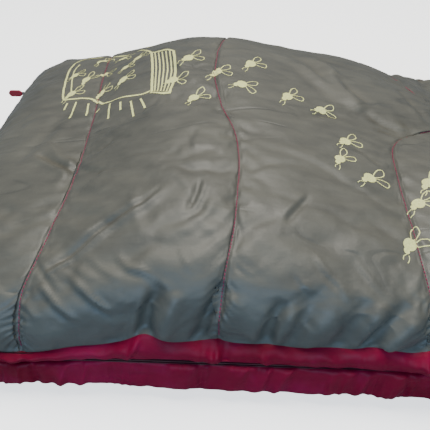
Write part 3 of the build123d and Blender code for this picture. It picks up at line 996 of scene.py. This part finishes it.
grip_finish = plastic("crimson_grip", (0.260, 0.006, 0.018), (0.360, 0.012, 0.034), 700.0, 0.0003, 0.42,
                      coat=0.15)


def on_quilt(obj, slot_name, *nodes):
    """A piece of the quilt that it is named after, put on that quilt's body in place of the CAD parts that it
    hides. One of the top quilt's gets a mesh of its own.
    """
    on_top = obj.name.startswith("top")
    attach(obj, "top_quilt" if on_top else "bottom_quilt")
    if nodes:
        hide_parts(*nodes)
    if on_top:
        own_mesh(obj)
    return obj


pieces = {}
for name, grid, flip, finish, slot_name, *nodes in (
    ("top_quilt_shell", shell, False, grey_satin, "shell_cloth", "top_shell", "top_fill"),
    ("top_quilt_facing", close_ends(facing), False, crimson_satin, "lining_cloth", "top_facing"),
    ("top_quilt_lining", inner, True, crimson_lining, "lining_cloth", "top_lining"),
    ("top_quilt_head_hem", top_hem, False, crimson_satin, "lining_cloth", "top_head_hem"),
    ("bottom_quilt_band", close_ends(band), False, crimson_satin, "lining_cloth", "bottom_facing"),
    ("bottom_quilt_underside", under, True, crimson_satin, "shell_cloth", "bottom_shell", "bottom_fill"),
    ("bottom_quilt_lining", bed, False, crimson_lining, "lining_cloth", "bottom_lining"),
    ("bottom_quilt_head_hem", bottom_hem, True, crimson_satin, "lining_cloth", "bottom_head_hem"),
):
    pieces[name] = on_quilt(grid_object(name, grid, flip, finish), slot_name, *nodes)

joining_strip = grid_object("joining_strip", strip, finish=crimson_satin)
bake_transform(joining_strip)
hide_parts("side_joining_strip")


# -------------------- stitches
thread_radius = 0.00062


def capsule(length, radius, sides=6):
    """Vertices and faces of a small rounded rod along X."""
    points = [(-length / 2, 0, 0)]
    for x, r in ((-length / 2 + 0.15 * radius, 0.6), (-length / 2 + 0.8 * radius, 1.0),
                 (length / 2 - 0.8 * radius, 1.0), (length / 2 - 0.15 * radius, 0.6)):
        for k in range(sides):
            a = 2 * pi * k / sides
            points.append((x, radius * r * cos(a), radius * r * sin(a)))
    points.append((length / 2, 0, 0))
    faces = [(0, 1 + (k + 1) % sides, 1 + k) for k in range(sides)]
    for ring in range(3):
        a = 1 + ring * sides
        b = a + sides
        faces += [(a + k, a + (k + 1) % sides, b + (k + 1) % sides, b + k) for k in range(sides)]
    last = len(points) - 1
    a = 1 + 3 * sides
    faces += [(last, a + k, a + (k + 1) % sides) for k in range(sides)]
    return np.array(points), faces


def scatter(name, template, places, forwards, ups, finish):
    """One mesh with a copy of the template at each place, its X along forward and its Z along up."""
    shape, faces = template
    forwards = unit(forwards)
    sides = unit(np.cross(ups, forwards))
    ups = np.cross(forwards, sides)
    axes = np.stack([forwards, sides, ups], 1)
    points = (shape[None] @ axes + places[:, None]).reshape(-1, 3)
    all_faces = [tuple(i + k * len(shape) for i in f) for k in range(len(places)) for f in faces]
    return mesh_object(name, points, all_faces, finish)


def sewn_line(points, ups, pitch, start=0.002):
    """Places a pitch apart along a line, with the directions along it and out of the cloth."""
    walked = run_along(points, 0)
    at = np.arange(start, walked[-1] - 0.002, pitch)
    forwards = placed(at + 0.0012, walked, points) - placed(at - 0.0012, walked, points)
    return placed(at, walked, points), forwards, unit(placed(at, walked, ups))


def stitch_rows(name, grid, rows_at, pitch, raise_by, flip):
    """Slightly slanting stitches along some rows of a grid, clear of its edges."""
    ups = grid_normals(grid) * (-1 if flip else 1)
    parts = [sewn_line(grid[r, 2:-2], ups[r, 2:-2], pitch) for r in rows_at]
    p, t, u = (np.concatenate([part[i] for part in parts]) for i in range(3))
    tilt = np.random.default_rng(5).uniform(0.06, 0.22, (len(p), 1))
    t = unit(t)
    t = t + np.cross(u, t) * tilt
    return scatter(name, capsule(pitch * 0.82, thread_radius), p + u * raise_by, t, u, thread_finish)


top_pitch, lining_pitch = 0.0042, 0.0050
for name, grid, rows_at, pitch, raise_by, flip, *nodes in (
    ("top_quilt_stitches", shell, nearest_rows(shell_x[:, 0]), top_pitch, 0.0003, False,
     "top_quilting_thread"),
    ("top_lining_stitches", inner, nearest_rows(inner_x[:, 0]), lining_pitch, 0.0003, True),
    ("bottom_lining_stitches", bed, nearest_rows(bed_x[:, 0]), lining_pitch, 0.0003, False,
     "bottom_quilting_thread"),
    ("underside_stitches", under, nearest_rows(under_px[:, 0]), lining_pitch, 0.0002, True),
    ("top_hem_stitches", top_hem[:9], [1], top_pitch, 0.0004, False),
):
    on_quilt(stitch_rows(name, grid, rows_at, pitch, raise_by, flip), "thread", *nodes)

# -------------------- the print, cast down on to the shell
shell_mesh = pieces["top_quilt_shell"].data
shell_tree = BVHTree.FromPolygons([v.co.copy() for v in shell_mesh.vertices],
                                  [tuple(p.vertices) for p in shell_mesh.polygons])
ink_points, ink_faces = [], []
ink_height = 0.00045
jar_line, lid_line, thin_line, ray_line = 0.0034, 0.0038, 0.0022, 0.0028


def on_cloth(x, y):
    hit = shell_tree.ray_cast(Vector((x, y, 0.5)), Vector((0, 0, -1)))
    return hit[0] + hit[1] * (ink_height if hit[1].z > 0 else -ink_height)


def stroke(line, width, closed=False):
    """A line of ink, smoothed through its points."""
    line = np.array(line, float)
    if closed:
        line = np.concatenate([line[-1:], line, line[:2]])
    count = max(int(np.linalg.norm(np.diff(line, axis=0), axis=1).sum() / 0.0018), 4)
    smoothed = resample(line, count, 0) if len(line) > 2 else np.linspace(line[0], line[-1], count)
    if closed:
        keep = np.linspace(0, len(line) - 1, count)
        smoothed = smoothed[(keep >= 1) & (keep <= len(line) - 2 + 1e-9)]
    t = np.gradient(smoothed, axis=0)
    n = np.stack([-t[:, 1], t[:, 0]], -1) / (np.linalg.norm(t, axis=1, keepdims=True) + 1e-12)
    first = len(ink_points)
    for p, out in zip(smoothed, n):
        for k in (-0.5, 0.0, 0.5):
            ink_points.append(on_cloth(*(p + out * width * k)))
    for i in range(len(smoothed) - 1):
        for k in (0, 1):
            a = first + 3 * i + k
            ink_faces.append((a, a + 1, a + 4, a + 3))


def blot(middle, long, wide, turn, tall=1.0):
    """A filled ellipse of ink."""
    first = len(ink_points)
    for share in (0.02, 0.5, 1.0):
        for k in range(16):
            a = 2 * pi * k / 16
            dx = long / 2 * share * cos(a)
            dy = wide / 2 * share * sin(a)
            ink_points.append(on_cloth(middle[0] + dx * cos(turn) - dy * sin(turn),
                                       middle[1] + tall * (dx * sin(turn) + dy * cos(turn))))
    for ring in (0, 16):
        for k in range(16):
            a = first + ring + k
            b = first + ring + (k + 1) % 16
            ink_faces.append((a, a + 16, b + 16, b))


def insect(x, y, turn, size, tall=1.0):
    """A round body, a small head with two feelers, and two looped wings, all drawn taller across the bag."""
    def at(along, across):
        return (x + size * (along * cos(turn) - across * sin(turn)),
                y + size * tall * (along * sin(turn) + across * cos(turn)))

    blot(at(-0.005, 0.0), 0.0155 * size, 0.0135 * size, turn, tall)
    blot(at(-0.013, -0.004), 0.007 * size, 0.007 * size, turn, tall)
    for feeler in ((-15, -7, -20, -7, -23, -10), (-14, -9, -17, -13, -21, -15)):
        stroke([at(*q) for q in pairs(metres(*feeler))], 0.0011 * size)
    for wing in ((0, 3, 7, 12, 15, 14, 15, 7, 8, 3), (1, 0, 10, -1, 18, -5, 14, -11, 6, -7)):
        stroke([at(*q) for q in pairs(metres(*wing))], 0.0014 * size, True)


def drawn(width, *flat):
    stroke(pairs(metres(*flat)), width)


# the jar, in millimetres: its outline, a line of shine, the bands of its lid, the lid's two ends, and rays
drawn(jar_line,
      -560, 38, -572, 33, -595, 36, -630, 44, -657, 68, -690, 72, -703, 80, -713, 129, -722, 190, -721, 224,
      -712, 244, -698, 250, -660, 243, -622, 236, -599, 226, -578, 183)
drawn(thin_line, -694, 96, -702, 130, -711, 182, -710, 214)
for k in range(7):
    share = k / 6
    stroke([(-0.578 + 0.042 * share, 0.183 - 0.043 * share), (-0.565 + 0.038 * share, 0.105 - 0.030 * share),
            (-0.557 + 0.028 * share, 0.033 - 0.018 * share)], lid_line if k in (0, 6) else thin_line)
drawn(lid_line, -580, 185, -556, 166, -534, 139)
drawn(lid_line, -559, 32, -542, 18, -527, 14)
for ray in (
    (-692, 62, -693, 45), (-678, 62, -678, 17), (-657, 54, -654, 22), (-636, 35, -639, 24),
    (-619, 33, -615, -6), (-602, 26, -598, 4), (-586, 21, -575, -22), (-571, 18, -561, -8),
    (-700, 292, -702, 302), (-676, 284, -672, 298), (-648, 276, -642, 292), (-620, 262, -612, 276),
    (-598, 250, -588, 262),
):
    drawn(ray_line, *ray)
# insects in the jar and outside it: place in millimetres, turn and size
for x, y, turn, size in (
    (-700, 160, 0.3, 0.75), (-676, 140, 0.8, 0.85), (-688, 92, 0.4, 0.85), (-668, 226, 0.5, 0.85),
    (-640, 84, 0.5, 0.75), (-626, 206, -0.3, 0.75), (-606, 98, 0.3, 0.8), (-596, 178, 0.5, 0.8),
    (-612, 146, 0.2, 0.65), (-648, 152, -0.4, 0.75),
):
    insect(*metres(x, y), turn, size, 1.6)
for x, y, turn, size in (
    (-506, 117, 0.3, 1), (-523, 52, -0.2, 0.9), (-490, 4, 0.5, 0.95), (-461, 69, 0.1, 0.95),
    (-412, 110, 0.4, 1), (-425, 33, -0.3, 0.95), (-361, 28, 0.4, 0.95), (-314, 14, 0, 0.9),
    (-290, -59, 0.3, 0.95), (-304, -104, 0.6, 0.9), (-269, -131, 0.1, 1), (-217, -164, 0.2, 1),
    (-240, -226, 0.5, 1), (-198, -126, 0.4, 1), (-120, -60, 0.2, 1), (-52, 45, 0.5, 0.95), (60, -120, 0, 1),
):
    insect(*metres(x, y), turn, size, 1.45 if y > 20 else 1.2)
top_print = mesh_object("top_quilt_print", [tuple(p) for p in ink_points], ink_faces, ink_finish)
on_quilt(top_print, "shell_cloth")

# -------------------- zip teeth, grips and the other CAD parts
zip_inset = 0.009
tooth_pitch = 0.0022
tooth_out = 0.0014
for half, joined, start in (("upper", "top_quilt", 0.002), ("lower", "bottom_quilt", 0.0031)):
    low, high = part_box(f"{half}_zip_coil")
    path, path_out, _ = outline(zip_inset, 4000)
    keep = (path[:, 0] < high.x - 0.004) & ~((path[:, 1] > high.y) & (path[:, 0] > low.x + 0.06))
    p = np.column_stack([path[keep], np.full(keep.sum(), (low.z + high.z) / 2)])
    outs = np.column_stack([path_out[keep], np.zeros(keep.sum())])
    q, _, u = sewn_line(p, outs, tooth_pitch, start)
    forward = np.tile([0, 0, 1.0], (len(q), 1))
    tooth = capsule(0.0016, 0.00045, 5)
    teeth = scatter(f"{half}_zip_teeth", tooth, q + u * tooth_out, forward, u, coil_finish)
    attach(teeth, joined)

for finish, names in (
    (tape_finish, ("upper_zip_tape", "lower_zip_tape")),
    (coil_finish, ("upper_zip_coil", "lower_zip_coil")),
    (metal_finish, ("upper_zip_stops", "lower_zip_stops", "side_slider", "foot_slider", "side_pull",
                    "foot_pull")),
    (grip_finish, ("side_pull_tab", "foot_pull_tab")),
):
    for name in names:
        for material_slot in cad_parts[name].material_slots:
            material_slot.material = finish

# -------------------- stage, camera and light
floor_mesh = bpy.data.meshes.new("floor")
floor_mesh.from_pydata([(-9, -9, 0), (9, -9, 0), (9, 9, 0), (-9, 9, 0)], [], [(0, 1, 2, 3)])
floor = add_object("floor", floor_mesh)
floor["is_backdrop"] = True
white, white_tree, white_bsdf = new_material("pale_floor", Base_Color=(0.92, 0.92, 0.92, 1), Roughness=0.8,
                                             Emission_Color=(1, 1, 1, 1), Emission_Strength=1.5)
floor_mesh.materials.append(white)


def dimmer_to_light(tree, seen, lighting, output):
    """The stage looks pale in the picture but throws little light back on to the bag."""
    path = node(tree, "ShaderNodeLightPath")
    mix = node(tree, "ShaderNodeMixShader")
    join(path.outputs["Is Camera Ray"], mix.inputs[0])
    join(lighting, mix.inputs[1])
    join(seen, mix.inputs[2])
    join(mix.outputs[0], output)


dull = node(white_tree, "ShaderNodeBsdfDiffuse", Color=(0.30, 0.30, 0.31, 1))
dimmer_to_light(white_tree, white_bsdf.outputs[0], dull.outputs[0],
                white_tree.nodes["Material Output"].inputs["Surface"])

camera_data = bpy.data.cameras.new("camera")
camera_data.sensor_width = 36
camera_data.lens = 46.2
camera_data.clip_start = 0.02
camera = add_object("camera", camera_data)
camera.location = (-0.433, -0.676, 0.560)
camera.rotation_euler = (radians(90 - 39.8), radians(0.3), radians(2.6))
bpy.context.scene.camera = camera

world = bpy.data.worlds.new("world")
bpy.context.scene.world = world
world.use_nodes = True
sky = world.node_tree.nodes["Background"]
sky.inputs[0].default_value = (0.50, 0.75, 1.0, 1)
sky.inputs[1].default_value = 0.25
backdrop = node(world.node_tree, "ShaderNodeBackground", Color=(0.93, 0.94, 0.95, 1), Strength=2.4)
dimmer_to_light(world.node_tree, backdrop.outputs[0], sky.outputs[0],
                world.node_tree.nodes["World Output"].inputs["Surface"])


def softbox(name, place, target, energy, size, depth, colour):
    data = bpy.data.lights.new(name, "AREA")
    data.shape = "RECTANGLE"
    data.size = size
    data.size_y = depth
    data.energy = energy
    data.color = colour
    light = add_object(name, data)
    light.location = place
    light.rotation_euler = (Vector(target) - Vector(place)).to_track_quat("-Z", "Y").to_euler()


softbox("overhead", (-0.40, 0.20, 2.2), (-0.42, 0.0, 0.1), energy=80, size=1.3, depth=1.1,
        colour=(1.0, 0.945, 0.84))
softbox("far_side", (-0.30, 2.3, 1.5), (-0.35, 0.0, 0.1), energy=4, size=2.4, depth=1.0,
        colour=(1.0, 0.98, 0.95))
softbox("near_side", (-0.6, -2.0, 0.8), (-0.45, -0.33, 0.05), energy=31, size=1.6, depth=0.6,
        colour=(0.42, 0.68, 1.0))

low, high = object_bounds()
